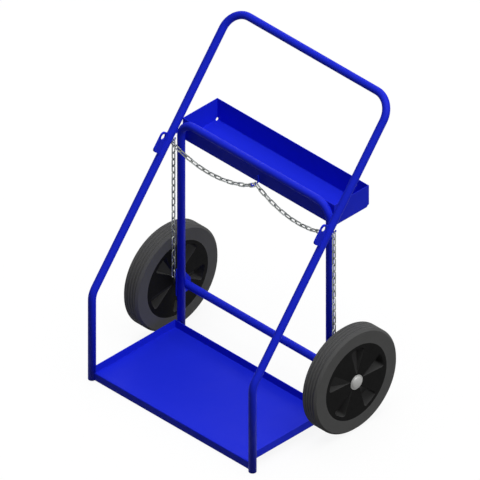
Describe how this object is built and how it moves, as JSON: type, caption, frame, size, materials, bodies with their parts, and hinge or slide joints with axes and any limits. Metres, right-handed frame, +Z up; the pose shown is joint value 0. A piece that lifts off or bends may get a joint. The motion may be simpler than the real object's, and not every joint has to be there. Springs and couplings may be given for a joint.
{
  "type": "double cylinder cart",
  "caption": "Two-wheeled hand cart with a leaning tube handle, a rear frame, a rimmed deck for gas cylinders, a tool tray and safety chains.",
  "frame": {"origin": "on the floor, midway between the wheels and midway between the front legs and the handle", "axes": "+Z up; the deck's open front faces -Y and the handle leans towards +Y; +X is on the right when the cart is seen from the front"},
  "size_m": [0.849, 0.6302, 1.0887],
  "materials": {
    "blue_paint": "semi-gloss blue powder coat",
    "chain_steel": "bright zinc plate",
    "cap_steel": "satin zinc plate",
    "axle_steel": "plain turned steel",
    "bush_bronze": "sintered bronze",
    "wheel_plastic": "moulded matte black",
    "tyre_rubber": "matte grey-black rubber"
  },
  "bodies": {
    "frame": {"handle_frame": "blue_paint", "rear_frame": "blue_paint", "base_tray": "blue_paint", "tool_tray": "blue_paint", "axle_tube": "blue_paint", "axle_shaft": "axle_steel", "centre_hook": "blue_paint", "axle_bracket_left": "blue_paint", "chain_lug_left": "blue_paint", "side_hook_left": "blue_paint", "inner_spacer_left": "axle_steel", "outer_washer_left": "axle_steel", "axle_cap_left": "cap_steel", "hung_link_left": "chain_steel", "axle_bracket_right": "blue_paint", "chain_lug_right": "blue_paint", "side_hook_right": "blue_paint", "inner_spacer_right": "axle_steel", "outer_washer_right": "axle_steel", "axle_cap_right": "cap_steel", "hung_link_right": "chain_steel"},
    "wheel_left": {"wheel_centre_left": "wheel_plastic", "tyre_left": "tyre_rubber", "wheel_boss_left": "wheel_plastic", "hub_bush_left": "bush_bronze"},
    "swag_left": {"chain_swag_left": "chain_steel"},
    "tail_upper_left": {"chain_tail_upper_left": "chain_steel"},
    "tail_lower_left": {"chain_tail_lower_left": "chain_steel"},
    "wheel_right": {"wheel_centre_right": "wheel_plastic", "tyre_right": "tyre_rubber", "wheel_boss_right": "wheel_plastic", "hub_bush_right": "bush_bronze"},
    "swag_right": {"chain_swag_right": "chain_steel"},
    "tail_upper_right": {"chain_tail_upper_right": "chain_steel"},
    "tail_lower_right": {"chain_tail_lower_right": "chain_steel"}
  },
  "joints": [
    {"name": "wheel_turn_left", "type": "hinge", "parent": "frame", "child": "wheel_left", "pos_m": [-0.3831, 0.0742, 0.1778], "axis": [1, 0, 0], "continuous": true},
    {"name": "swag_swing_left", "type": "hinge", "parent": "frame", "child": "swag_left", "pos_m": [-0.34435, 0.0378, 0.711], "axis": [-0.9994, -0.0299, -0.016], "range_deg": [0, 20]},
    {"name": "tail_swing_left", "type": "hinge", "parent": "frame", "child": "tail_upper_left", "pos_m": [-0.34435, 0.0472, 0.6869], "axis": [1, 0, 0], "range_deg": [-25, 50]},
    {"name": "tail_bend_left", "type": "hinge", "parent": "tail_upper_left", "child": "tail_lower_left", "pos_m": [-0.34435, 0.0472, 0.4439], "axis": [1, 0, 0], "range_deg": [-30, 45]},
    {"name": "wheel_turn_right", "type": "hinge", "parent": "frame", "child": "wheel_right", "pos_m": [0.3831, 0.0742, 0.1778], "axis": [1, 0, 0], "continuous": true},
    {"name": "swag_swing_right", "type": "hinge", "parent": "frame", "child": "swag_right", "pos_m": [0.34435, 0.0378, 0.711], "axis": [-0.9985, 0.0531, 0.0159], "range_deg": [0, 20]},
    {"name": "tail_swing_right", "type": "hinge", "parent": "frame", "child": "tail_upper_right", "pos_m": [0.34435, 0.0472, 0.6869], "axis": [1, 0, 0], "range_deg": [-25, 50]},
    {"name": "tail_bend_right", "type": "hinge", "parent": "tail_upper_right", "child": "tail_lower_right", "pos_m": [0.34435, 0.0472, 0.4439], "axis": [1, 0, 0], "range_deg": [-30, 45]}
  ]
}
